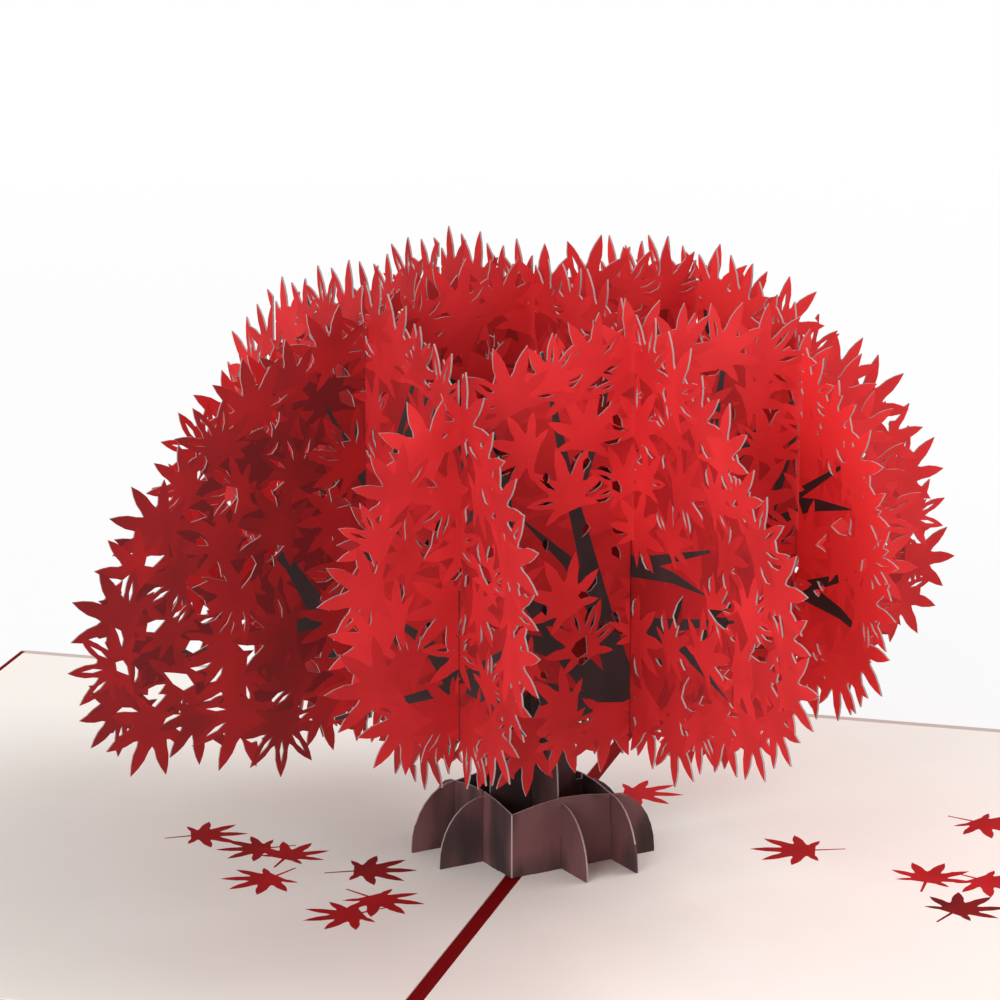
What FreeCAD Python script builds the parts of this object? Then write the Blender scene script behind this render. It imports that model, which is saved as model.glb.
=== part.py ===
"""Pop-up greeting card, open flat, with a paper maple tree standing on its spine.

The tree is a sliceform: two families of upright sheets cross each other at
45 degrees to the spine and interlock by half slots, so the whole tree folds
flat as a lattice when the card is shut. Three sheets run each way. The two
centre sheets reach the card and carry the trunk and the root fins; two folded
root strips box them in and are glued to the pages.

World axes: X across the spine, Y along it, Z up. The origin is the middle of
the cover's outside face. All sizes are in millimetres.
"""
import FreeCAD, Part
import math
import os

# Card
page_width = 127.0        # from the spine to the outer edge
page_height = 178.0       # along the spine
cover_thickness = 0.35
score_width = 1.0         # crease pressed into the cover at the spine
score_depth = 0.12
liner_thickness = 0.25
side_border = 1.2         # red edge left beside each liner
end_border = 0.5          # red edge left at each liner's two ends
spine_strip = 2.9         # red strip left between the two liners

# Paper of the tree
sheet_thickness = 0.3
sheet_angle = 45.0        # between a sheet and a line square to the spine
root_clearance = 0.25     # play of a sheet in a root slot
canopy_clearance = 0.7    # play of a sheet in a canopy slot

# Lattice
root_pitch = 9.725        # between neighbouring root sheets, along the other family
canopy_pitch = 31.86      # between neighbouring leaf sheets

# Roots and trunk
fold_height = 11.1        # root strip at its fold
arch_height = 12.6        # root strip at the middle of a leg
arch_bulge = 0.25         # how far the strip's edge rises over a straight line
fin_height = 11.6         # where a fin starts
fin_length = 8.5          # from the last crossing to the fin's toe
toe_height = 0.8          # blunt end of a fin
tongue_length = 3.6       # glued tongue under a root strip
tongue_lap = 0.5          # how far the tongue's outline runs up into its leg
tongue_clearance = 0.2    # play of a tongue in its slit
trunk_shoulder = 1.3      # from the root crossing in to the trunk's foot
trunk_neck = 4.6          # half the trunk's width above the flare
flare_height = 14.0       # from the roots to the neck

# Leaf sheets: overall sizes, lobe tips included
centre_reach = 87.5       # from the lattice's middle to the farthest tips
centre_top = 107.0
a_centre_middle = 41.0    # height of the widest place
a_centre_bottom = 20.5
b_centre_middle = 50.0
b_centre_bottom = 22.0
outer_reach = 57.5
b_right_reach = 62.0      # the right sheet is the longest of the outer four
outer_top = 103.5
a_back_top = 96.0
b_left_top = 105.0
outer_middle = 60.0
front_bottom = 20.0       # the two outer sheets nearer the reader hang lower
back_bottom = 23.0
roundness_above = 2.0     # 2 is an ellipse, larger is squarer
a_centre_roundness = 3.8  # the same below the widest place
b_centre_roundness = 2.4
outer_roundness = 3.2
droop = 5.0               # depth of the hanging clusters on the underside
droop_pitch = 28.0

# Leaves
leaf_size = 9.3           # from a leaf's middle to its longest tip
leaf_spread = 0.16        # share by which leaf sizes differ
leaf_spacing = 8.0        # between neighbouring leaves of the rim
leaf_swing = 26.0         # largest turn of a leaf from square to the rim
leaf_stagger = 1.8        # how far a leaf may stand back from the rim line
leaf_lobes = ((0, 1.0), (38, 0.97))
notch_depth = 0.44        # notch between two lobes, as a share of their length
stalk_notch = 0.2

# Openings cut between the leaves
window_inset = 8.2        # from the rim leaves' middles to the outer row of openings
window_row = 10.5         # from one row of openings to the next
window_skip = 7           # leaves from one opening of a row to the next
window_length = 5.4
window_width = 2.9
window_spread = 0.3       # share by which the openings' sizes differ
window_belly = 0.1        # from an opening's middle to its widest place, as a share
window_swing = 70.0       # largest turn of an opening
window_clear = 3.2        # paper left between an opening and a slot

page_level = cover_thickness + liner_thickness
half_turn = math.radians(sheet_angle)
GOLDEN = 0.618034


def vector(x, y, z=0.0):
    return FreeCAD.Vector(x, y, z)


def sway(number):
    """An even spread of values from -1 to 1 that never repeats."""
    return 2.0 * ((number * GOLDEN) % 1.0) - 1.0


def outline_face(points):
    """Face in the upright drawing plane, X along the sheet and Z up."""
    corners = [vector(u, 0, z) for u, z in points]
    return Part.Face(Part.makePolygon(corners + corners[:1]))


def thick(face):
    """Sheet of paper about the drawing plane."""
    sheet = face.extrude(vector(0, sheet_thickness, 0))
    sheet.translate(vector(0, -sheet_thickness / 2, 0))
    return sheet


def upright_box(u, width, low, high):
    """Cutter through a sheet at one place along it."""
    box = Part.makeBox(width, 4 * sheet_thickness, high - low)
    box.translate(vector(u - width / 2, -2 * sheet_thickness, low))
    return box


def stand(sheet, family, offset):
    """Turn a drawn sheet to its family's direction and carry it across the lattice."""
    turn = half_turn if family == "A" else -half_turn
    sheet.rotate(vector(0, 0), vector(0, 0, 1), math.degrees(turn))
    sheet.translate(vector(offset * math.cos(turn), -offset * math.sin(turn), page_level))
    return sheet


def slot_width(clearance):
    """Room for a sheet that crosses at the lattice's own angle."""
    crossing = 2 * half_turn
    lean = abs(math.cos(crossing)) / math.sin(crossing)
    return sheet_thickness / math.sin(crossing) + sheet_thickness * lean + clearance


def largest(shape):
    """The sheet itself, without leaf tips that a slot cuts free."""
    return max(shape.Solids, key=lambda solid: solid.Volume)


def fused_face(faces):
    """One face from overlapping faces of the drawing plane."""
    joined = faces[0].multiFuse(faces[1:])
    merged = Part.makeShell(joined.Faces).removeSplitter()
    return max(merged.Faces, key=lambda face: face.Area)


def leaf_points(u, z, size, heading):
    """Maple leaf of the rim: a tip for each free lobe and a notch between two lobes."""
    lobes = [(-turn, reach) for turn, reach in reversed(leaf_lobes[1:])] + list(leaf_lobes)
    spots = []
    for (turn, reach), (after, next_reach) in zip(lobes, lobes[1:]):
        spots.append((turn, reach))
        spots.append(((turn + after) / 2, notch_depth * (reach + next_reach) / 2))
    spots.append(lobes[-1])
    spots.append((180, stalk_notch))
    points = []
    for turn, reach in spots:
        angle = heading + math.radians(turn)
        points.append((u + size * reach * math.cos(angle), z + size * reach * math.sin(angle)))
    return points


def rim_curve(label):
    """Closed line that the middles of a sheet's rim leaves follow, inside its overall sizes."""
    reach, top, middle, bottom, roundness_below = canopy_sizes[label]
    points = []
    steps = 240
    for step in range(steps):
        angle = 2 * math.pi * step / steps
        along, up = math.cos(angle), math.sin(angle)
        power = 2 / (roundness_above if up >= 0 else roundness_below)
        height = (top - middle if up >= 0 else middle - bottom) - leaf_size
        u = (reach - leaf_size) * math.copysign(abs(along) ** power, along)
        z = middle + height * math.copysign(abs(up) ** power, up)
        if up < 0:
            wave = 0.5 + 0.5 * math.cos(2 * math.pi * (abs(u) - canopy_pitch) / droop_pitch)
            z += droop * wave * abs(up)
        points.append((u, z))
    return points


def spaced(curve, spacing):
    """Points evenly spaced along a closed line, each with the direction square to it."""
    lengths = [math.dist(a, b) for a, b in zip(curve, curve[1:] + curve[:1])]
    count = round(sum(lengths) / spacing)
    step = sum(lengths) / count
    found, walked, target = [], 0.0, 0.0
    for index, length in enumerate(lengths):
        a, b = curve[index], curve[(index + 1) % len(curve)]
        while target < walked + length and len(found) < count:
            share = (target - walked) / length
            outward = math.atan2(-(b[0] - a[0]), b[1] - a[1])
            place = (a[0] + share * (b[0] - a[0]), a[1] + share * (b[1] - a[1]))
            found.append((place, outward))
            target += step
        walked += length
    return found


def leaf_mass(curve, seed):
    """Faces of a sheet's foliage: leaves round the rim and the solid middle that joins them."""
    middles = []
    faces = []
    for number, ((u, z), outward) in enumerate(spaced(curve, leaf_spacing)):
        inward = leaf_stagger * (0.5 + 0.5 * sway(5 * number + seed))
        size = leaf_size * (1 + leaf_spread * sway(number + seed))
        heading = outward + math.radians(leaf_swing) * sway(2 * number + seed)
        place = (u - inward * math.cos(outward), z - inward * math.sin(outward))
        middles.append(place)
        faces.append(outline_face(leaf_points(*place, size, heading)))
    return [outline_face(middles)] + faces


def windows(curve, seed, crossings, slot):
    """Kite-shaped openings in staggered rows inside the rim leaves."""
    rim = spaced(curve, leaf_spacing)
    cutters = []
    for row in range(2):
        inset = window_inset + row * window_row
        for number in range(row, len(rim), window_skip):
            (u, z), outward = rim[number]
            along = leaf_spacing / 2
            u += -inset * math.cos(outward) - along * math.sin(outward)
            z += -inset * math.sin(outward) + along * math.cos(outward)
            reach = window_length * (1 + window_spread * sway(number + seed + row))
            half = window_width / 2 * (1 + window_spread * sway(3 * number + seed))
            keep = slot / 2 + window_clear + reach / 2
            if min(abs(u - crossing) for crossing in crossings) < keep:
                continue
            heading = outward + math.radians(window_swing) * sway(5 * number + seed + row)
            c, s = math.cos(heading), math.sin(heading)
            belly = window_belly * reach
            kite = ((reach / 2, 0), (belly, half), (-reach / 2, 0), (belly, -half))
            corners = [(u + a * c - b * s, z + a * s + b * c) for a, b in kite]
            cutters.append(outline_face(corners))
    return cutters


def canopy_limits(label, u):
    """Lowest and highest height of a sheet's foliage near a place along it."""
    reach, top, middle, bottom, roundness_below = canopy_sizes[label]
    share = max(0.0, 1 - abs(u / reach) ** roundness_above) ** (1 / roundness_above)
    below = max(0.0, 1 - abs(u / reach) ** roundness_below) ** (1 / roundness_below)
    return middle - (middle - bottom) * below, middle + (top - middle) * share


def joint_height(label, place, other, other_place):
    """Where two crossing leaf sheets meet: half way up what both of them cover."""
    low, high = canopy_limits(label, place)
    other_low, other_high = canopy_limits(other, other_place)
    if "centre" in label and "centre" in other:
        low = other_low = 0.0
    return (max(low, other_low) + min(high, other_high)) / 2


def quarter(start, end, upright, steps=8):
    """Points of a quarter ellipse between two places, leaving the first upright or level."""
    points = []
    for step in range(steps + 1):
        angle = math.pi / 2 * step / steps
        across, up = (1 - math.cos(angle), math.sin(angle)) if upright else (
            math.sin(angle), 1 - math.cos(angle))
        points.append((start[0] + (end[0] - start[0]) * across,
                       start[1] + (end[1] - start[1]) * up))
    return points


def fin_points(crossing):
    """Upper edge of a root fin, from its crossing out to its toe."""
    return quarter((crossing, fin_height), (crossing + fin_length, toe_height), upright=False)


def trunk_face():
    """Root fins, flare and trunk of a centre sheet, up into its foliage."""
    foot = root_pitch - trunk_shoulder
    into_leaves = a_centre_bottom + droop + 2 * leaf_size
    side = [(root_pitch + fin_length, 0.0)]
    side += list(reversed(fin_points(root_pitch)))
    side += quarter((foot, fin_height), (trunk_neck, fin_height + flare_height), upright=True)
    side.append((trunk_neck, into_leaves))
    return outline_face(side + [(-u, z) for u, z in reversed(side)])


def leaf_sheet(label, family, offset, seed):
    """One upright sheet of the tree with its slots."""
    curve = rim_curve(label)
    faces = leaf_mass(curve, seed)
    if "centre" in label:
        faces.append(trunk_face())
    face = fused_face(faces)
    crossings = [(other, place) for other, other_family, place, _ in leaf_sheets if other_family != family]
    slot = slot_width(canopy_clearance)
    face = face.cut(windows(curve, seed, [place for other, place in crossings], slot))
    sheet = thick(max(face.Faces, key=lambda piece: piece.Area))
    above = centre_top + 2 * leaf_size
    cutters = []
    for other, place in crossings:
        middle = joint_height(label, place, other, offset)
        low, high = (-1.0, middle) if family == "A" else (middle, above)
        cutters.append(upright_box(place, slot, low, high))
    if "centre" in label:
        for crossing in (-root_pitch, root_pitch):
            low, high = (-1.0, fin_height / 2) if family == "A" else (fin_height / 2, fin_height + 1)
            cutters.append(upright_box(crossing, slot_width(root_clearance), low, high))
    return stand(largest(sheet.cut(cutters)), family, offset)


def tongue_places():
    """Distances from the fold to the middles of a root leg's two tongues."""
    liner_start = spine_strip / 2 / math.cos(half_turn)
    return (liner_start + root_pitch) / 2, 1.5 * root_pitch


def root_leg(away, openings):
    """Half of a root strip, drawn from its fold at one crossing out to its fin.

    away is +1 or -1, the way the leg runs; openings says for the middle and the
    far crossing whether the slot is open at the top or at the bottom."""
    start = -root_pitch - sheet_thickness / 2
    top = [(start, fold_height)]
    top.append((-root_pitch / 2, (fold_height + arch_height) / 2 + arch_bulge))
    top.append((0.0, arch_height))
    top.append((root_pitch / 2, (fin_height + arch_height) / 2 + arch_bulge))
    points = [(start, 0.0)] + top + fin_points(root_pitch) + [(root_pitch + fin_length, 0.0)]
    leg = thick(outline_face([(away * u, z) for u, z in points]))
    for place in tongue_places():
        left = away * (place - root_pitch) - tongue_length / 2
        right = left + tongue_length
        corners = [(left, -liner_thickness), (right, -liner_thickness),
                   (right, tongue_lap), (left, tongue_lap)]
        leg = leg.fuse(thick(outline_face(corners)))
    half = fin_height / 2
    cutters = []
    for crossing, opening in zip((0.0, root_pitch), openings):
        low, high = (half, arch_height + 1) if opening == "top" else (-1.0, half)
        cutters.append(upright_box(away * crossing, slot_width(root_clearance), low, high))
    return leg.cut(cutters)


def root_strip(side):
    """Folded V of root paper; side is +1 for the front strip and -1 for the back one."""
    if side > 0:
        openings_a, openings_b = ("bottom", "top"), ("top", "top")
    else:
        openings_a, openings_b = ("bottom", "bottom"), ("top", "bottom")
    leg_a = stand(root_leg(side, openings_a), "A", side * root_pitch)
    leg_b = stand(root_leg(-side, openings_b), "B", -side * root_pitch)
    return leg_a.fuse(leg_b).removeSplitter()


def cover():
    """Card cover opened flat, with the pressed crease along its spine."""
    card = Part.makeBox(2 * page_width, page_height, cover_thickness)
    card.translate(vector(-page_width, -page_height / 2))
    groove = [vector(-score_width / 2, 0, cover_thickness),
              vector(0, 0, cover_thickness - score_depth),
              vector(score_width / 2, 0, cover_thickness)]
    crease = Part.Face(Part.makePolygon(groove + groove[:1])).extrude(vector(0, page_height, 0))
    crease.translate(vector(0, -page_height / 2))
    return card.cut(crease)


def liner(side):
    """Cream sheet of one page with the slits for the root tongues."""
    inner, outer = spine_strip / 2, page_width - side_border
    sheet = Part.makeBox(outer - inner, page_height - 2 * end_border, liner_thickness)
    sheet.translate(vector(inner, end_border - page_height / 2, cover_thickness))
    slits = []
    for place in tongue_places():
        for away in (1, -1):
            slit = Part.makeBox(tongue_length + tongue_clearance,
                                sheet_thickness + tongue_clearance, 3 * liner_thickness)
            slit.translate(vector(place - (tongue_length + tongue_clearance) / 2,
                                  -(sheet_thickness + tongue_clearance) / 2, 0))
            slit.rotate(vector(0, 0), vector(0, 0, 1), away * math.degrees(half_turn))
            slit.translate(vector(0, -away * 2 * root_pitch * math.sin(half_turn)))
            slits.append(slit)
    sheet = sheet.cut(slits)
    if side < 0:
        sheet.rotate(vector(0, 0), vector(0, 0, 1), 180)
    return sheet


# Reach, top, height of the widest place, bottom and roundness below of each leaf sheet
canopy_sizes = {
    "a_front": (outer_reach, outer_top, outer_middle, front_bottom, outer_roundness),
    "a_centre": (centre_reach, centre_top, a_centre_middle, a_centre_bottom, a_centre_roundness),
    "a_back": (outer_reach, a_back_top, outer_middle, back_bottom, outer_roundness),
    "b_left": (outer_reach, b_left_top, outer_middle, front_bottom, outer_roundness),
    "b_centre": (centre_reach, centre_top, b_centre_middle, b_centre_bottom, b_centre_roundness),
    "b_right": (b_right_reach, outer_top, outer_middle, back_bottom, outer_roundness),
}

# Label, family, distance from the lattice's middle, and the number its leaves are varied by
leaf_sheets = (
    ("a_front", "A", canopy_pitch, 3),
    ("a_centre", "A", 0.0, 12),
    ("a_back", "A", -canopy_pitch, 19),
    ("b_left", "B", -canopy_pitch, 28),
    ("b_centre", "B", 0.0, 35),
    ("b_right", "B", canopy_pitch, 43),
)

nodes = {
    "cover": cover(),
    "liner_left": liner(-1),
    "liner_right": liner(1),
    "root_strip_front": root_strip(1),
    "root_strip_back": root_strip(-1),
}
for label, family, offset, seed in leaf_sheets:
    nodes["leaf_sheet_" + label] = leaf_sheet(label, family, offset, seed)

os.makedirs("parts", exist_ok=True)
for name, shape in nodes.items():
    shape.exportStep(f"parts/{name}.step")
    print(name, len(shape.Solids), "solid", round(shape.Volume, 1), "cubic mm")
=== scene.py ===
# %% [markdown]
# A pop-up card lies open on a table and a paper maple stands over its spine.
# The CAD frame gives every piece its place. This lesson gives each piece its
# paper, its print and its cut edge, and cuts the leaf sheets finer than the
# frame does. Everything is in metres, in the frame's own axes.

import math

import bmesh
import bpy
from mathutils import Matrix, Vector
from mathutils.geometry import delaunay_2d_cdt


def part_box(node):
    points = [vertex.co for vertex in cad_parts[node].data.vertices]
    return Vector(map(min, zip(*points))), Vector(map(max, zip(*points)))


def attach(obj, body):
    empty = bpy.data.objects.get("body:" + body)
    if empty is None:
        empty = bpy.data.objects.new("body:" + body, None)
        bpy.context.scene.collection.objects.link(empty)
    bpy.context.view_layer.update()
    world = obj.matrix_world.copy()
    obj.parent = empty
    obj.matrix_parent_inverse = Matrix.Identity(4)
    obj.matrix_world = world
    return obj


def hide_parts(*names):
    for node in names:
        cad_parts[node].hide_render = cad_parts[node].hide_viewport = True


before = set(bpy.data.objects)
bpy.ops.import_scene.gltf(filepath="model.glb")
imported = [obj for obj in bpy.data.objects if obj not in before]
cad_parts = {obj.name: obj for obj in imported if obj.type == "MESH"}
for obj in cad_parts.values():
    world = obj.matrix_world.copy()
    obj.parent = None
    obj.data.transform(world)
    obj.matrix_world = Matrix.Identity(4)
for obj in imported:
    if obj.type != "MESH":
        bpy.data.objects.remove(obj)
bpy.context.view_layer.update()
MM = 0.001

# %% [markdown]
# The sizes of the card and of the tree's lattice. They repeat the driving
# sizes of the frame, because the finer leaf sheets have to cross each other in
# the same slots. Heights are measured from the page, which lies on the cover
# and the liner.

# %% Sizes in millimetres
page_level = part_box("liner_right")[1][2] / MM
liner_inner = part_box("liner_right")[0][0] / MM
sheet_thickness = 0.3
root_clearance = 0.25
canopy_clearance = 0.7
root_pitch = 9.725
canopy_pitch = 31.86
fin_height = 11.6
fin_length = 8.5
toe_height = 0.8
trunk_shoulder = 1.3
trunk_neck = 4.6
flare_height = 14.0
roundness_above = 2.0
droop = 5.0
droop_pitch = 28.0
leaf_size = 9.3
leaf_spread = 0.16
leaf_spacing = 8.0
leaf_swing = 26.0
leaf_stagger = 1.8
window_inset = 8.2
window_row = 10.5
window_skip = 7
window_length = 5.4
window_width = 2.9
window_spread = 0.3
window_swing = 70.0
window_clear = 3.2
past_edge = 1.0
# Per sheet: half its width, top, widest place, underside, and how square it is below.
canopy_sizes = {
    "a_front": (57.5, 103.5, 60.0, 20.0, 3.2),
    "a_centre": (87.5, 107.0, 41.0, 20.5, 3.8),
    "a_back": (57.5, 96.0, 60.0, 23.0, 3.2),
    "b_left": (57.5, 105.0, 60.0, 20.0, 3.2),
    "b_centre": (87.5, 107.0, 50.0, 22.0, 2.4),
    "b_right": (62.0, 103.5, 60.0, 23.0, 3.2),
}
# Per sheet: family, place across the lattice, first leaf number, and the painted
# light and shade that set its left and its right part brighter or darker than the rest.
leaf_sheets = (
    ("a_front", "A", canopy_pitch, 3, (-0.16, 0.02)),
    ("a_centre", "A", 0.0, 12, (-0.52, 0.0)),
    ("a_back", "A", -canopy_pitch, 19, (-0.06, 0.06)),
    ("b_left", "B", -canopy_pitch, 28, (-0.12, -0.16)),
    ("b_centre", "B", 0.0, 35, (-0.14, -0.06)),
    ("b_right", "B", canopy_pitch, 43, (0.34, 0.38)),
)
GOLDEN = 0.618034


def sway(number):
    """An even spread of values from -1 to 1 that never repeats."""
    return 2.0 * ((number * GOLDEN) % 1.0) - 1.0


# %% [markdown]
# Shader maths reads best as plain arithmetic. A Wire wraps one socket of a
# node tree, and an expression on wires adds the Math nodes for it. One method,
# node, makes every other kind of node.

# %% A socket that can be calculated with
class Wire:
    """A socket in a node tree that can be used in arithmetic."""

    def __init__(self, tree, socket):
        self.tree = tree
        self.socket = socket

    def _math(self, operation, first, second=0.0):
        return Paint(self.tree).node(
            "ShaderNodeMath", {"operation": operation}, {0: first, 1: second})

    def __add__(self, other):
        return self._math("ADD", self, other)

    def __radd__(self, other):
        return self._math("ADD", other, self)

    def __sub__(self, other):
        return self._math("SUBTRACT", self, other)

    def __rsub__(self, other):
        return self._math("SUBTRACT", other, self)

    def __mul__(self, other):
        return self._math("MULTIPLY", self, other)

    def __rmul__(self, other):
        return self._math("MULTIPLY", other, self)

    def above(self, limit):
        return self._math("GREATER_THAN", self, limit)

    def size(self):
        return self._math("ABSOLUTE", self)


class Paint:
    """Makes nodes in one material's tree."""

    def __init__(self, tree):
        self.tree = tree

    def node(self, kind, settings=None, values=None, output=0):
        """One node: its settings come first, then the values or links of its sockets."""
        made = self.tree.nodes.new(kind)
        for name, value in (settings or {}).items():
            if name == "stops":
                ramp = made.color_ramp
                while len(ramp.elements) < len(value):
                    ramp.elements.new(0.5)
                for element, (place, colour) in zip(ramp.elements, value):
                    element.position = place
                    element.color = (*colour, 1.0)
            else:
                setattr(made, name, value)
        for name, value in (values or {}).items():
            socket = made.inputs[name]
            if isinstance(value, Wire):
                self.tree.links.new(value.socket, socket)
            elif isinstance(value, tuple) and len(value) == 3 and socket.type == "RGBA":
                socket.default_value = (*value, 1.0)
            else:
                socket.default_value = value
        return Wire(self.tree, made.outputs[output]) if made.outputs else None

    def mix(self, factor, first, second, blend="MIX"):
        """Mixes two colours."""
        made = self.tree.nodes.new("ShaderNodeMix")
        made.data_type = "RGBA"
        made.blend_type = blend
        sockets = [s for s in made.inputs if s.enabled]
        for socket, value in zip(sockets, (factor, first, second)):
            if isinstance(value, Wire):
                self.tree.links.new(value.socket, socket)
            else:
                socket.default_value = (*value, 1.0) if isinstance(value, tuple) else value
        return Wire(self.tree, next(s for s in made.outputs if s.enabled))

    def place(self):
        """Where a spot is on the piece, in the piece's own metres."""
        return self.node("ShaderNodeTexCoord", output=3)

    def axis(self, vector, number):
        """One number of a vector: 0 is x, 1 is y and 2 is z."""
        return self.node("ShaderNodeSeparateXYZ", {}, {0: vector}, output=number)

    def tone(self):
        """The tone stored on the faces of a printed sheet."""
        return self.node("ShaderNodeAttribute", {"attribute_name": "tone"}, output=2)

    def noise(self, scale, detail=3.0, stretch=(1.0, 1.0, 1.0)):
        """Noise over the piece in its own metres."""
        placed = self.node("ShaderNodeMapping", {}, {"Vector": self.place(), "Scale": stretch})
        return self.node(
            "ShaderNodeTexNoise", {}, {"Vector": placed, "Scale": scale, "Detail": detail})

    def ramp(self, factor, stops):
        """Colours along a ramp, from (place, colour) stops."""
        return self.node("ShaderNodeValToRGB", {"stops": stops}, {"Fac": factor})


def srgb(red, green, blue):
    """Colour as it is seen on a screen, 0 to 255, turned into the shader's linear values."""
    def channel(value):
        share = value / 255
        return share / 12.92 if share <= 0.04045 else ((share + 0.055) / 1.055) ** 2.4
    return (channel(red), channel(green), channel(blue))


# %% [markdown]
# Everything on this card is paper. Uncoated paper is matt, with faint clouds
# in its colour and a fine tooth that only shows at a low angle. One function
# gives that paper any colour, so each print only has to say what it paints.

# %% Paper
cloud_scale, fibre_scale = 90.0, 2600.0
fibre_depth = 0.0001
matt_roughness, roughness_sway = 0.78, 0.1


def paper(name, colour_of, tooth=0.12, clouds=0.93, shine=0.3):
    """Material for a sheet of paper; colour_of paints it and returns a colour wire."""
    material = bpy.data.materials.new(name)
    material.use_nodes = True
    tree = material.node_tree
    tree.nodes.clear()
    paint = Paint(tree)
    cloud = paint.noise(cloud_scale, 4.0)
    cloudy = paint.ramp(cloud, [(0.3, (clouds, clouds, clouds)), (0.7, (1.0, 1.0, 1.0))])
    colour = paint.mix(1.0, colour_of(paint), cloudy, "MULTIPLY")
    bump = paint.node("ShaderNodeBump", {}, {
        "Strength": tooth, "Distance": fibre_depth, "Height": paint.noise(fibre_scale, 2.0)})
    shader = paint.node("ShaderNodeBsdfPrincipled", {}, {
        "Base Color": colour,
        "Roughness": matt_roughness + roughness_sway * (cloud - 0.5),
        "Specular IOR Level": shine,
        "Normal": bump,
    })
    paint.node("ShaderNodeOutputMaterial", {}, {"Surface": shader})
    return material


# %% [markdown]
# The prints. On the real card the artwork is ink: reds for the leaves, browns
# for the bark. A ramp from dark to light holds each ink's colours, and the
# sheet's faces say how bright a leaf or how dark a bough is. Where the laser or
# the guillotine went through, the paper is bare, and that is a print as well.

# %% Prints and bare paper
wash_strength = 0.4
far_shade_from = 0.0866        # the pages' painted shade along the far end starts here
pale_end = 0.0884         # the cover's two cut ends start here
fold_half_width = 0.00013
diagonal = 0.7071         # how far east and north a root strip's two faces look
edge_slant = 0.1
bare_card = srgb(178, 158, 154)
bare_bark = srgb(184, 166, 163)
# The grey of the painted shade along the pages' far end.
far_edge_shade = srgb(205, 186, 181)


def leaf_print(paint):
    """Each leaf has its own red; the tone is stored on the faces of the sheet."""
    return paint.ramp(paint.tone() + wash_strength * (paint.noise(110.0, 3.0) - 0.5), [
        (0.0, srgb(108, 14, 18)), (0.4, srgb(176, 22, 26)),
        (0.7, srgb(216, 38, 42)), (1.0, srgb(244, 54, 56))])


def bark_print(paint):
    """Maroon brown bark: upright streaks under large dark patches."""
    streak = paint.noise(190.0, 3.0, (1.0, 1.0, 0.2))
    patch = paint.noise(120.0, 1.0, (1.0, 1.0, 0.45))
    return paint.ramp(0.35 * streak + 0.65 * patch, [
        (0.36, srgb(56, 42, 43)), (0.47, srgb(80, 56, 57)),
        (0.56, srgb(118, 76, 78)), (0.70, srgb(128, 86, 88))])


def bough_print(paint):
    """Bark that is nearly black out in the boughs, where the faces' tone is 0."""
    dark = paint.mix(paint.noise(150.0, 3.0), srgb(34, 26, 27), srgb(66, 50, 50))
    return paint.mix(paint.tone(), dark, bark_print(paint))


def cut_edge(paint):
    """The paper's own grey white, browned by the laser."""
    return paint.mix(paint.noise(400.0, 2.0), srgb(154, 134, 132), srgb(180, 164, 162))


def cream(paint):
    """Warm white, with a faint grey line of painted shade along the far end."""
    page = paint.mix(paint.noise(12.0, 2.0), srgb(250, 245, 239), srgb(247, 241, 234))
    return paint.mix(paint.axis(paint.place(), 1).above(far_shade_from), page, far_edge_shade)


def card_red(paint):
    """Red card; its two ends are cut last and show the pale core."""
    red = paint.mix(paint.noise(60.0, 4.0), srgb(118, 4, 9), srgb(132, 8, 14))
    return paint.mix(paint.axis(paint.place(), 1).size().above(pale_end), red, bare_card)


def root_print(paint):
    """Bark that is bare at the fold and at every edge, a face that looks another way."""
    normal = paint.node("ShaderNodeNewGeometry", output=1)
    east, north = (paint.axis(normal, number).size() for number in (0, 1))
    slant = (east - diagonal).size() + (north - diagonal).size()
    fold = fold_half_width - paint.axis(paint.place(), 0).size()
    bare = slant.above(edge_slant) + fold.above(0.0)
    return paint.mix(bare, bark_print(paint), bare_bark)


leaf_paper = paper("maple_leaves", leaf_print)
bark_paper = paper("maple_boughs", bough_print)
edge_paper = paper("cut_edge", cut_edge, tooth=0.05)
cream_paper = paper("cream_page", cream, clouds=0.985)
red_card = paper("red_cover", card_red, shine=0.06)
root_paper = paper("root_bark", root_print)
leaf_ink = paper("leaf_ink", leaf_print, tooth=0.08, shine=0.1)
print("papers:", [m.name for m in bpy.data.materials])

# %% [markdown]
# The cover and the two root strips keep the frame's own shape, so they only
# need paper. The cover is red card with a pale core; the strips carry bark.

# %% Dress the frame's own pieces
def dress(node, material):
    """Gives a piece of the frame its paper."""
    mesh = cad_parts[node].data
    mesh.materials.clear()
    mesh.materials.append(material)


dress("cover", red_card)
dress("root_strip_front", root_paper)
dress("root_strip_back", root_paper)

# %% [markdown]
# A printed and cut sheet is layers of flat shapes: the bough print at the
# bottom, leaves over it, small cuts between the lobes, and the slots through
# everything. The shape on top decides what a spot is. Blender can lay all
# outlines into one triangulation and tell for each triangle which shapes cover
# it, and that is far quicker and cleaner than a boolean for every leaf.

# %% Lay flat shapes over each other
PAPER, BARK, CUT = 0, 1, 2


def turned_left(outline):
    """The same outline, run anticlockwise, as the triangulation needs it."""
    pairs = zip(outline, outline[1:] + outline[:1])
    double_area = sum(a[0] * b[1] - b[0] * a[1] for a, b in pairs)
    return outline if double_area > 0 else outline[::-1]


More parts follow.
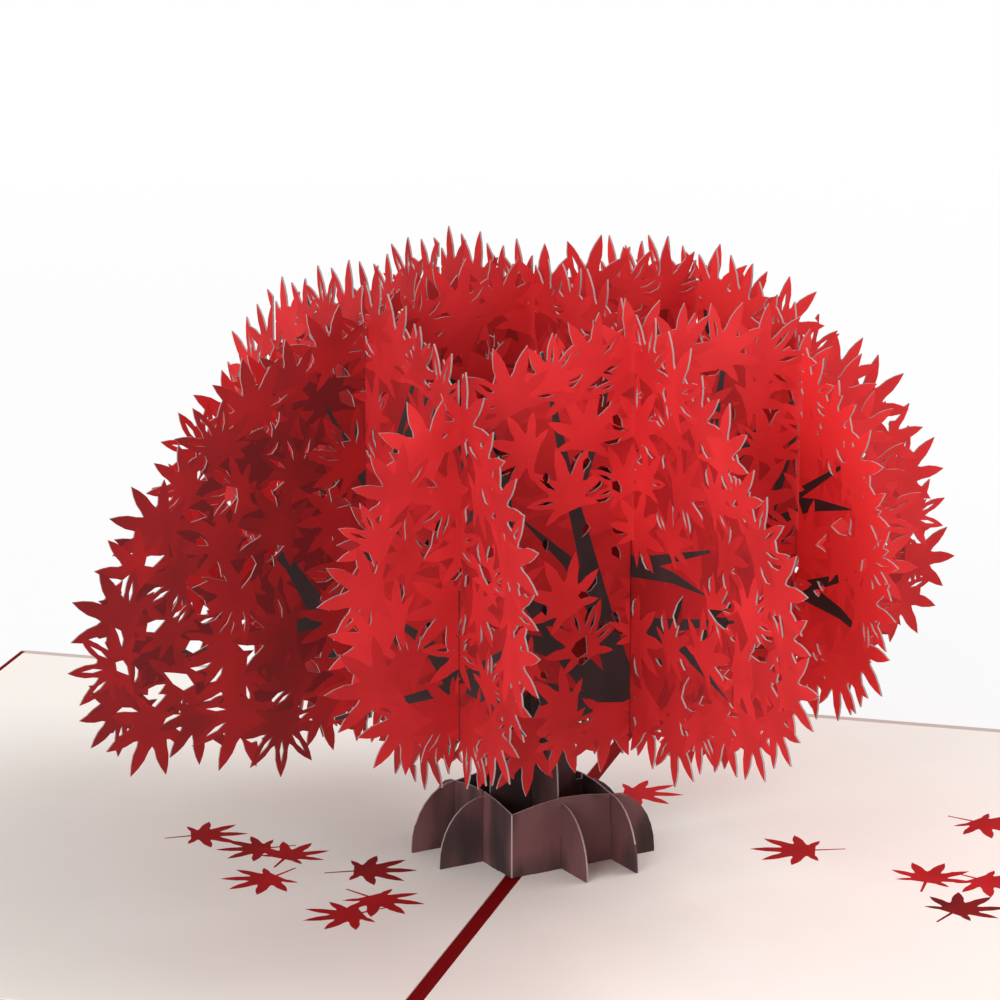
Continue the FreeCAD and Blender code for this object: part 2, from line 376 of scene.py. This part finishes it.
def layered_sheet(name, layers):
    """Flat mesh in the XZ plane, in metres, from (outline, kind, tone) layers, the last on top."""
    spots, loops = [], []
    for outline, _, _ in layers:
        loops.append(list(range(len(spots), len(spots) + len(outline))))
        spots.extend(Vector(point) for point in turned_left(outline))
    spots, _, faces, _, _, covers = delaunay_2d_cdt(spots, [], loops, 1, 1e-4)
    work = bmesh.new()
    tones = work.faces.layers.float.new("tone")
    verts = [work.verts.new((u * MM, 0.0, z * MM)) for u, z in spots]
    for face, cover in zip(faces, covers):
        if not cover:
            continue
        _, kind, tone = layers[max(cover)]
        if kind == CUT:
            continue
        made = work.faces.new([verts[index] for index in face])
        made.material_index = kind
        made[tones] = tone
    drop_loose(work)
    mesh = bpy.data.meshes.new(name)
    work.to_mesh(mesh)
    work.free()
    return mesh


def drop_loose(work):
    """Keeps the one connected sheet; what the cuts free falls out."""
    left = set(work.faces)
    groups = []
    while left:
        start = left.pop()
        group, queue = [start], [start]
        while queue:
            face = queue.pop()
            for edge in face.edges:
                for other in edge.link_faces:
                    if other in left:
                        left.discard(other)
                        group.append(other)
                        queue.append(other)
        groups.append(group)
    groups.sort(key=lambda group: -sum(face.calc_area() for face in group))
    loose = [face for group in groups[1:] for face in group]
    bmesh.ops.delete(work, geom=loose, context="FACES")
    unused = [vert for vert in work.verts if not vert.link_faces]
    bmesh.ops.delete(work, geom=unused, context="VERTS")


def thicken(mesh, name, thickness):
    """Solid sheet about its drawing plane; the rim takes the cut edge's material."""
    piece = bpy.data.objects.new(name, mesh)
    bpy.context.scene.collection.objects.link(piece)
    bpy.ops.object.select_all(action="DESELECT")
    piece.select_set(True)
    bpy.context.view_layer.objects.active = piece
    solid = piece.modifiers.new("thickness", "SOLIDIFY")
    solid.thickness = thickness * MM
    solid.offset = 0.0
    solid.material_offset_rim = 2
    bpy.ops.object.modifier_apply(modifier=solid.name)
    return piece


# %% [markdown]
# A maple leaf has seven pointed lobes that spread from its stalk. Each lobe
# swells a little from the notch and then runs to a point. All of it is told
# from the stalk: turns in degrees from the leaf's heading and shares of its
# size, so that one helper draws the leaf and the cuts that the laser makes in it.

# %% A maple leaf
half_leaf = ((0, 1.0), (38, 0.97), (76, 0.85), (116, 0.62))
leaf_lobes = [(-turn, reach) for turn, reach in reversed(half_leaf[1:])] + list(half_leaf)
lobe_sides = ((0.52, 13.0), (0.68, 9.6), (0.84, 4.8))
notch_depth = 0.44
stalk_foot = (180, 0.2)
gap_form = ((18.5, 0.42), (20.0, 0.60), (14.5, 0.78), (5.0, 0.87), (9.2, 0.70), (12.4, 0.55))
vein_form = ((0, 0.32), (-4.2, 0.52), (0, 0.76), (4.2, 0.52))
hole_form = ((-0.5, 0.0), (-0.1, -0.4), (0.3, -0.5), (0.5, 0.1), (0.15, 0.5), (-0.2, 0.25))


def fanned(u, z, size, heading, spots):
    """Points round a leaf's middle, from (turn in degrees, share of the size) spots."""
    points = []
    for turn, share in spots:
        angle = heading + math.radians(turn)
        points.append((u + size * share * math.cos(angle), z + size * share * math.sin(angle)))
    return points


def leaf_outline(u, z, size, heading):
    """A leaf with its lobes and the notches between them."""
    spots = []
    for index, (turn, reach) in enumerate(leaf_lobes):
        spots += [(turn - half, reach * share) for share, half in lobe_sides]
        spots.append((turn, reach))
        spots += [(turn + half, reach * share) for share, half in reversed(lobe_sides)]
        if index + 1 < len(leaf_lobes):
            after, next_reach = leaf_lobes[index + 1]
            spots.append(((turn + after) / 2, notch_depth * (reach + next_reach) / 2))
    return fanned(u, z, size, heading, spots + [stalk_foot])


def gap_outline(u, z, size, heading, turn, reach, side):
    """Crescent cut along one side of a lobe, from its notch to near its tip."""
    spots = [(turn + side * lean, share) for lean, share in gap_form]
    return fanned(u, z, size * reach, heading, spots)


def vein_outline(u, z, size, heading, turn, reach):
    """Lens-shaped slit along the middle of a lobe."""
    return fanned(u, z, size * reach, heading, [(turn + lean, share) for lean, share in vein_form])


def hole_outline(u, z, length, width, heading):
    """Drop-shaped hole that the laser leaves between overlapping leaves."""
    points = []
    for along, across in hole_form:
        a, b = along * length, across * width
        points.append((u + a * math.cos(heading) - b * math.sin(heading),
                       z + a * math.sin(heading) + b * math.cos(heading)))
    return points


# %% [markdown]
# The rim leaves follow a closed line inside the sheet's overall size, an
# ellipse above and a squarer curve below, with the underside gathered into
# hanging clusters. This is the same line, in the same order, as the frame's.

# %% The line of the rim leaves
rim_steps = 240


def rim_curve(label):
    """Closed line that the middles of a sheet's rim leaves follow."""
    reach, top, middle, bottom, roundness_below = canopy_sizes[label]
    points = []
    for step in range(rim_steps):
        angle = 2 * math.pi * step / rim_steps
        along, up = math.cos(angle), math.sin(angle)
        power = 2 / (roundness_above if up >= 0 else roundness_below)
        height = (top - middle if up >= 0 else middle - bottom) - leaf_size
        u = (reach - leaf_size) * math.copysign(abs(along) ** power, along)
        z = middle + height * math.copysign(abs(up) ** power, up)
        if up < 0:
            wave = 0.5 + 0.5 * math.cos(2 * math.pi * (abs(u) - canopy_pitch) / droop_pitch)
            z += droop * wave * abs(up)
        points.append((u, z))
    return points


def spaced(curve, spacing):
    """Points evenly spaced along a closed line, each with the direction square to it."""
    lengths = [math.dist(a, b) for a, b in zip(curve, curve[1:] + curve[:1])]
    count = round(sum(lengths) / spacing)
    step = sum(lengths) / count
    found, walked, target = [], 0.0, 0.0
    for index, length in enumerate(lengths):
        a, b = curve[index], curve[(index + 1) % len(curve)]
        while target < walked + length and len(found) < count:
            share = (target - walked) / length
            spot = (a[0] + share * (b[0] - a[0]), a[1] + share * (b[1] - a[1]))
            found.append((spot, math.atan2(a[0] - b[0], b[1] - a[1])))
            target += step
        walked += length
    return found


def depth_inside(curve, u, z):
    """Distance from a spot to a closed line, positive inside it."""
    inside = False
    nearest = 1e9
    for (u0, z0), (u1, z1) in zip(curve, curve[1:] + curve[:1]):
        if (z0 > z) != (z1 > z) and u < u0 + (z - z0) / (z1 - z0) * (u1 - u0):
            inside = not inside
        nearest = min(nearest, math.hypot(u0 - u, z0 - z))
    return nearest if inside else -nearest


# %% [markdown]
# Boughs are printed under the leaves and show through where the leaves leave
# gaps. Each is a bar that bends once and thins towards its end, and two twigs
# leave it. The boughs of a centre sheet spring from the trunk; those of an
# outer sheet spring from a little above its underside.

# %% Boughs and trunk
bough_counts = {True: 8, False: 6}            # of a centre sheet and of an outer one
bough_reaches = {True: 0.78, False: 0.94}     # share of the way to the rim
bough_widths = {True: 7.0, False: 5.8}
centre_fork, outer_fork = 34.0, 12.0
fan_start, fan_width, fan_sway = 0.06, 0.88, 0.12
bough_bend, bough_tip = 0.22, 0.5
bough_parts = ((0.3, 0.6), (0.62, 0.1), (1.0, -0.7))
twig_lean, twig_sway, twig_length = 0.55, 0.15, 0.36
twig_width, twig_tip, twig_lift = 3.8, 0.2, (1.2, 0.8)


def bough(route, wide, narrow):
    """Outline of a bar along a few points, thinning to its end."""
    left, right = [], []
    for index, (u, z) in enumerate(route):
        before = route[max(index - 1, 0)]
        after = route[min(index + 1, len(route) - 1)]
        angle = math.atan2(after[1] - before[1], after[0] - before[0]) + math.pi / 2
        half = (wide + (narrow - wide) * index / (len(route) - 1)) / 2
        left.append((u + half * math.cos(angle), z + half * math.sin(angle)))
        right.append((u - half * math.cos(angle), z - half * math.sin(angle)))
    return left + right[::-1]


def quarter(start, end, upright, steps=9):
    """Points of a quarter ellipse between two places, leaving the first upright or level."""
    points = []
    for step in range(steps + 1):
        angle = math.pi / 2 * step / steps
        across, up = (1 - math.cos(angle), math.sin(angle)) if upright else (
            math.sin(angle), 1 - math.cos(angle))
        points.append((start[0] + (end[0] - start[0]) * across,
                       start[1] + (end[1] - start[1]) * up))
    return points


def trunk_outline():
    """Root fins, flare and trunk of a centre sheet, up into its foliage."""
    foot = root_pitch - trunk_shoulder
    side = [(root_pitch + fin_length, 0.0)]
    side += quarter((root_pitch, fin_height), (root_pitch + fin_length, toe_height), False)[::-1]
    side += quarter((foot, fin_height), (trunk_neck, fin_height + flare_height), True)
    side.append((trunk_neck, canopy_sizes["a_centre"][3] + 2 * leaf_size))
    return side + [(-u, z) for u, z in reversed(side)]


def bough_layers(label, seed):
    """Printed boughs of one sheet, from the trunk's fork out into the leaves."""
    reach, top, _, bottom, _ = canopy_sizes[label]
    central = "centre" in label
    fork = centre_fork if central else bottom + outer_fork
    layers = []
    for number in range(bough_counts[central]):
        share = (number + 0.5) / bough_counts[central]
        angle = math.pi * (fan_start + fan_width * share) + fan_sway * sway(number + seed)
        long = bough_reaches[central] * math.hypot(
            reach * math.cos(angle), (top - fork) * math.sin(angle))
        bend = bough_bend * sway(2 * number + seed)
        route = [(0.0, fork)]
        for part, turn in bough_parts:
            at = angle + bend * turn
            route.append((long * part * math.cos(at), fork + long * part * math.sin(at)))
        layers.append((bough(route, bough_widths[central], bough_tip), BARK, 0.0))
        for leaves_at, way in ((1, 1), (2, -1)):
            (u, z), lean = route[leaves_at], sway(3 * number + seed + leaves_at)
            twig = angle + way * (twig_lean + twig_sway * lean)
            tip = (u + twig_length * long * math.cos(twig), z + twig_length * long * math.sin(twig))
            middle = ((u + tip[0]) / 2 + twig_lift[0], (z + tip[1]) / 2 + twig_lift[1])
            layers.append((bough([(u, z), middle, tip], twig_width, twig_tip), BARK, 0.0))
    return layers


# %% [markdown]
# Leaves are laid in three coats. Dark leaves lie at the back, boughs cross
# them, and brighter leaves cover most of both. The rim leaves come last, where
# the frame has them. A cut belongs to its leaf, so a leaf that is laid over it
# later closes it again, just as the printer's artwork would.

# %% Lay the leaves
row_height = 0.87             # of a staggered row, as a share of the spacing
leaf_jitter = 2.4
leaf_centre_height = 38.0     # inner leaves look away from here
inner_swing = 48
inner_size, inner_spread = 0.95, 0.16
vein_share = 0.6              # slit veins for every gap that is cut


def inner_leaves(curve, seed, spacing, inset):
    """Staggered places inside the rim line, each with its own size and heading."""
    low_u, high_u = min(u for u, z in curve), max(u for u, z in curve)
    low_z, high_z = min(z for u, z in curve), max(z for u, z in curve)
    found = []
    rows = int((high_z - low_z) / (row_height * spacing)) + 1
    columns = int((high_u - low_u) / spacing) + 1
    for row in range(rows):
        for column in range(columns + 1):
            number = row * 17 + column * 5 + seed
            u = low_u + (column + 0.5 * (row % 2)) * spacing + leaf_jitter * sway(number)
            z = low_z + row * row_height * spacing + leaf_jitter * sway(2 * number + 1)
            if depth_inside(curve, u, z) > inset:
                size = leaf_size * (inner_size + inner_spread * sway(5 * number))
                swing = math.radians(inner_swing) * sway(3 * number + 2)
                heading = math.atan2(z - leaf_centre_height, u) + swing
                found.append((u, z, size, heading, number))
    return found


def leaf_layers(u, z, size, heading, tone, number, cuts):
    """One leaf with a share of its lobes' sides and veins cut through."""
    layers = [(leaf_outline(u, z, size, heading), PAPER, tone)]
    for index, (turn, reach) in enumerate(leaf_lobes[1:-1]):
        side = 1 if sway(number * 3 + index) > 0 else -1
        if (sway(number * 7 + index * 3) + 1) / 2 < cuts:
            layers.append((gap_outline(u, z, size, heading, turn, reach, side), CUT, 0.0))
        if (sway(number * 11 + index * 5 + 1) + 1) / 2 < vein_share * cuts:
            layers.append((vein_outline(u, z, size, heading, turn, reach), CUT, 0.0))
    return layers


def windows(curve, seed, crossings):
    """Openings in staggered rows inside the rim leaves, where the frame has them."""
    rim = spaced(curve, leaf_spacing)
    along = leaf_spacing / 2
    layers = []
    for row in range(2):
        inset = window_inset + row * window_row
        for number in range(row, len(rim), window_skip):
            (u, z), outward = rim[number]
            u += -inset * math.cos(outward) - along * math.sin(outward)
            z += -inset * math.sin(outward) + along * math.cos(outward)
            long = window_length * (1 + window_spread * sway(number + seed + row))
            wide = window_width * (1 + window_spread * sway(3 * number + seed))
            keep = (sheet_thickness + canopy_clearance) / 2 + window_clear + long / 2
            if min(abs(u - crossing) for crossing in crossings) >= keep:
                heading = outward + math.radians(window_swing) * sway(5 * number + seed + row)
                layers.append((hole_outline(u, z, long, wide, heading), CUT, 0.0))
    return layers


def slot_layer(u, width, low, high):
    """Slot cut right through a sheet."""
    left, right = u - width / 2, u + width / 2
    return ([(left, low), (right, low), (right, high), (left, high)], CUT, 0.0)


def canopy_limits(label, u):
    """Lowest and highest height of a sheet's foliage near a place along it."""
    reach, top, middle, bottom, roundness_below = canopy_sizes[label]
    below, above = (max(0.0, 1 - abs(u / reach) ** power) ** (1 / power)
                    for power in (roundness_below, roundness_above))
    return middle - (middle - bottom) * below, middle + (top - middle) * above


def joint_height(label, place, other, other_place):
    """Where two crossing leaf sheets meet: half way up what both of them cover."""
    low, high = canopy_limits(label, place)
    other_low, other_high = canopy_limits(other, other_place)
    if "centre" in label and "centre" in other:
        low = other_low = 0.0
    return (max(low, other_low) + min(high, other_high)) / 2


def rim_leaves(curve, seed):
    """Rim leaves in their order: place, size, heading and number."""
    found = []
    for number, ((u, z), outward) in enumerate(spaced(curve, leaf_spacing)):
        inward = leaf_stagger * (0.5 + 0.5 * sway(5 * number + seed))
        size = leaf_size * (1 + leaf_spread * sway(number + seed))
        heading = outward + math.radians(leaf_swing) * sway(2 * number + seed)
        u, z = u - inward * math.cos(outward), z - inward * math.sin(outward)
        found.append((u, z, size, heading, number))
    return found


# %% [markdown]
# One function lays a whole sheet. Shade is painted into the leaves' tones:
# darker at the left end, along the underside and round the trunk, where less
# light reaches, and one function gives it as a tone. The sheet's own row adds the
# painted light and shade that set it apart from the others.

# %% Lay a whole sheet
left_shade_to, left_fade = 42.0, 32.0      # the painted shade of the left part ends here and fades over this width
# Painted shade along the underside and round the trunk: where it starts, how far it fades and how
# deep it is.
low_from, low_fade, underside_shade = 54.0, 26.0, 0.27
trunk_shade, trunk_fade = 0.4, 24.0
back_tone, back_spread = 0.46, 0.12
front_tone, front_spread = 0.70, 0.09
rim_tone = 0.72
trunk_tone = 0.8
back_spacing, front_spacing, coat_inset = 9.0, 10.0, 2.0
front_cuts, rim_cuts = 0.45, 0.4          # share of the lobes with a gap
wood_near = 4.0
bare_high, bare_low, high_from = 0.2, -0.6, 50.0   # how often leaves keep off the boughs
hole_spacing, hole_inset = 6.2, 1.0
hole_limit, hole_length = -0.45, 2.5
loose_limit, loose_length, loose_from = -0.2, 3.4, -25.0   # the loose end of sheet a_centre
hole_spread, hole_roundness = 0.9, 0.55


def painted_shade(label, painted_shading, u, z):
    """Painted light and shade at a spot: how much brighter or darker than usual the sheet's tone is
    there.
    """
    right = min(max((u + left_shade_to) / left_fade, 0.0), 1.0)
    low = min(max((low_from - z) / low_fade, 0.0), 1.0)
    tone = painted_shading[0] + (painted_shading[1] - painted_shading[0]) * right
    # Painted shade along the underside, which on a_centre gives way to the left end's own painted
    # shade.
    tone -= underside_shade * low * (right if label == "a_centre" else 1.0)
    # Painted shade round the trunk of a centre sheet.
    if "centre" in label:
        tone -= trunk_shade * low * max(1.0 - abs(u) / trunk_fade, 0.0)
    return tone


def sheet_layers(label, family, offset, seed, painted_shading):
    """All layers of one leaf sheet, the last on top."""
    curve = rim_curve(label)
    rim = rim_leaves(curve, seed)
    layers = [([leaf[:2] for leaf in rim], PAPER, back_tone + sum(painted_shading) / 2)]
    if "centre" in label:
        layers.append((trunk_outline(), BARK, trunk_tone))
    for u, z, size, heading, number in inner_leaves(curve, seed, back_spacing, coat_inset):
        tone = back_tone + back_spread * sway(number) + painted_shade(label, painted_shading, u, z)
        layers.append((leaf_outline(u, z, size, heading), PAPER, tone))
    boughs = bough_layers(label, seed)
    layers += boughs
    wood = [point for outline, _, _ in boughs for point in outline]
    for u, z, size, heading, number in inner_leaves(curve, seed + 60, front_spacing, coat_inset):
        near_wood = min(math.dist((u, z), point) for point in wood) < wood_near
        if near_wood and sway(number * 3 + 1) < (bare_high if z > high_from else bare_low):
            continue
        tone = front_tone + front_spread * sway(4 * number) + painted_shade(label, painted_shading, u, z)
        layers += leaf_layers(u, z, size, heading, tone, number, front_cuts)
    for u, z, size, heading, number in rim:
        tone = rim_tone + front_spread * sway(4 * number + seed) + painted_shade(label, painted_shading, u, z)
        layers += leaf_layers(u, z, size, heading, tone, number + seed, rim_cuts)
    for u, z, _, heading, number in inner_leaves(curve, seed + 7, hole_spacing, hole_inset):
        loose = label == "a_centre" and u < loose_from
        if sway(number * 5 + 3) < (loose_limit if loose else hole_limit):
            long = (loose_length if loose else hole_length) + hole_spread * sway(2 * number)
            layers.append((hole_outline(u, z, long, hole_roundness * long, heading), CUT, 0.0))
    crossed = [(row[0], row[2]) for row in leaf_sheets if row[1] != family]
    layers += windows(curve, seed, [place for _, place in crossed])
    over_top = canopy_sizes["a_centre"][1] + 2 * leaf_size
    for other, crossing in crossed:
        middle = joint_height(label, crossing, other, offset)
        low, high = (-past_edge, middle) if family == "A" else (middle, over_top)
        layers.append(slot_layer(crossing, sheet_thickness + canopy_clearance, low, high))
    if "centre" in label:
        middle = fin_height / 2
        low, high = (-past_edge, middle) if family == "A" else (middle, fin_height + past_edge)
        for crossing in (-root_pitch, root_pitch):
            layers.append(slot_layer(crossing, sheet_thickness + root_clearance, low, high))
    return layers


# %% [markdown]
# Six sheets, cut, thickened and stood up on the page: family A runs from the
# front left to the back right, family B from the back left to the front right.

# %% The six leaf sheets
def stand(piece, family, offset):
    """Turns a drawn sheet to its family's direction and carries it across the lattice."""
    turn = math.radians(45 if family == "A" else -45)
    place = Vector((offset * math.cos(turn), -offset * math.sin(turn), page_level)) * MM
    piece.data.transform(Matrix.Translation(place) @ Matrix.Rotation(turn, 4, "Z"))


for label, family, offset, seed, painted_shading in leaf_sheets:
    flat = layered_sheet("cut_" + label, sheet_layers(label, family, offset, seed, painted_shading))
    for paper_kind in (leaf_paper, bark_paper, edge_paper, edge_paper):
        flat.materials.append(paper_kind)
    sheet = thicken(flat, "maple_sheet_" + label, sheet_thickness)
    stand(sheet, family, offset)
    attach(sheet, "root")
    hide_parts("leaf_sheet_" + label)
    print(sheet.name, "faces:", len(sheet.data.polygons))

# %% [markdown]
# Fallen leaves are printed on the cream liners. Ink has no thickness, so each
# leaf is a patch of the liner's top face with the red ink's material on it. The
# liner is drawn flat like the leaf sheets, with the slits that the tongues of
# the root strips go through, and then lies down on the cover.

# %% The liners with their printed leaves
tongue_length, tongue_clearance = 3.6, 0.2
ink_leaf_share = 0.72
stalk_length, stalk_lean, stalk_wide, stalk_thin = 0.55, 0.2, 0.7, 0.4
# Per leaf: place to the right of the spine and away from the reader, size,
# heading in degrees and tone.
fallen_leaves = {
    "left": (
        (-57.6, -6.6, 11.5, 20, 0.30), (-45.2, -10.6, 11.0, 200, 0.22),
        (-39.8, -13.2, 11.0, 75, 0.34), (-39.2, -24.6, 12.0, 235, 0.42),
        (-25.0, -16.6, 12.5, 15, 0.18), (-19.2, -29.6, 12.5, -40, 0.38),
        (-20.6, -37.8, 12.0, 215, 0.36)),
    "right": (
        (44.6, 12.8, 13.0, 190, 0.36), (67.4, 4.1, 12.0, 80, 0.44),
        (71.4, 35.1, 12.0, -30, 0.40), (76.8, 5.9, 12.0, -35, 0.44),
        (74.8, -9.6, 12.5, 60, 0.06), (9.2, 35.0, 12.5, 8, 0.66)),
}


def slit_outline(side, away, place):
    """Slit for one tongue of a root strip, turned to the strip's leg."""
    long = (tongue_length + tongue_clearance) / 2
    wide = (sheet_thickness + tongue_clearance) / 2
    lean = math.sqrt(0.5)
    points = []
    for along, aside in ((-long, -wide), (long, -wide), (long, wide), (-long, wide)):
        u = place + along
        x, y = lean * (u - away * aside), lean * (away * u + aside - away * 2 * root_pitch)
        points.append((side * x, side * y))
    return points


def liner_layers(side, low, high, fallen):
    """The page, its printed leaves and its slits, seen from above."""
    page = [(low.x, low.y), (high.x, low.y), (high.x, high.y), (low.x, high.y)]
    layers = [(page, PAPER, 0.0)]
    for x, y, size, heading, tone in fallen:
        turn = math.radians(heading)
        lean = turn + stalk_lean
        tail = (x - stalk_length * size * math.cos(lean), y - stalk_length * size * math.sin(lean))
        layers.append((bough([(x, y), tail], stalk_wide, stalk_thin), BARK, tone))
        layers.append((leaf_outline(x, y, ink_leaf_share * size, turn), BARK, tone))
    liner_start = liner_inner / math.cos(math.radians(45))
    for place in ((liner_start + root_pitch) / 2, 1.5 * root_pitch):
        for away in (1, -1):
            layers.append((slit_outline(side, away, place), CUT, 0.0))
    return layers


for name, side in (("left", -1), ("right", 1)):
    low, high = (Vector(corner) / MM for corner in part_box("liner_" + name))
    flat = layered_sheet("flat_" + name, liner_layers(side, low, high, fallen_leaves[name]))
    for paper_kind in (cream_paper, leaf_ink, cream_paper, cream_paper):
        flat.materials.append(paper_kind)
    flat.transform(Matrix.Rotation(math.radians(-90), 4, "X"))
    page = thicken(flat, "page_" + name, high.z - low.z)
    page.data.transform(Matrix.Translation((0.0, 0.0, (low.z + high.z) / 2 * MM)))
    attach(page, "root")
    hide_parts("liner_" + name)
    print(page.name, "faces:", len(page.data.polygons))

# %% [markdown]
# The card is photographed from in front and a little above, with a long lens.
# The camera's place and angle were solved from the lattice of the tree.

# %% Camera
azimuth, elevation = 15.226, 15.015
camera_data = bpy.data.cameras.new("camera")
camera_data.lens = 167.1
camera_data.sensor_width = 36.0
camera_data.clip_start = 0.01
camera = bpy.data.objects.new("camera", camera_data)
camera.location = Vector((191.6, -725.3, 263.4 + page_level)) * MM
camera.rotation_euler = (math.radians(90 - elevation), 0.0, math.radians(azimuth))
bpy.context.scene.collection.objects.link(camera)
bpy.context.scene.camera = camera

# %% [markdown]
# A large soft lamp stands to the right and above, a weaker one in front, and
# the white surroundings fill the shadows. The table is white; the part of it
# that the lens sees is lifted to the white of the backdrop but keeps a share of
# the card's shadow.

# %% Light and table
def lamp(name, place, aim, size, power):
    """Soft square lamp that looks at a point."""
    data = bpy.data.lights.new(name, "AREA")
    data.shape = "SQUARE"
    data.size = size
    data.energy = power
    light = bpy.data.objects.new(name, data)
    light.location = place
    light.rotation_euler = (Vector(aim) - Vector(place)).to_track_quat("-Z", "Y").to_euler()
    bpy.context.scene.collection.objects.link(light)


lamp("key_lamp", (0.80, 0.46, 0.80), (0.0, 0.0, 0.04), 0.8, 9.3)
lamp("front_lamp", (-0.30, -1.35, 0.60), (0.0, 0.0, 0.05), 0.8, 12.5)

room_light = 0.54             # on the card; the lens sees the room at 1, which is white
shadow_fade = 1.6             # the card's shadow is gone at one over this, in metres
shadow_share = 0.4
table_size = 12.0

world = bpy.data.worlds.new("white_room")
world.use_nodes = True
world.node_tree.nodes.clear()
room = Paint(world.node_tree)
seen = room.node("ShaderNodeLightPath", output=0)
strength = room_light + (1.0 - room_light) * seen
background = room.node(
    "ShaderNodeBackground", {}, {"Color": (1.0, 1.0, 1.0), "Strength": strength})
room.node("ShaderNodeOutputWorld", {}, {"Surface": background})
bpy.context.scene.world = world
bpy.context.scene.view_settings.view_transform = "Standard"

table_paint = bpy.data.materials.new("table")
table_paint.use_nodes = True
table_paint.node_tree.nodes.clear()
top = Paint(table_paint.node_tree)
matt = top.node("ShaderNodeBsdfDiffuse", {}, {"Color": (0.9, 0.9, 0.9)})
glow = top.node("ShaderNodeEmission", {}, {"Color": (1.0, 1.0, 1.0), "Strength": 1.0})
seen = top.node("ShaderNodeLightPath", output=0)
away = top.node("ShaderNodeVectorMath", {"operation": "LENGTH"}, {0: top.place()}, output=1)
near = top.node(
    "ShaderNodeMath", {"operation": "SUBTRACT", "use_clamp": True}, {0: 1.0, 1: shadow_fade * away})
mixed = top.node(
    "ShaderNodeMixShader", {}, {0: seen * (1.0 - shadow_share * near), 1: matt, 2: glow})
top.node("ShaderNodeOutputMaterial", {}, {"Surface": mixed})

bpy.ops.object.select_all(action="DESELECT")
bpy.ops.mesh.primitive_plane_add(size=table_size, location=(0.0, 0.0, 0.0))
table = bpy.context.object
table.name = "table"
table.data.materials.append(table_paint)
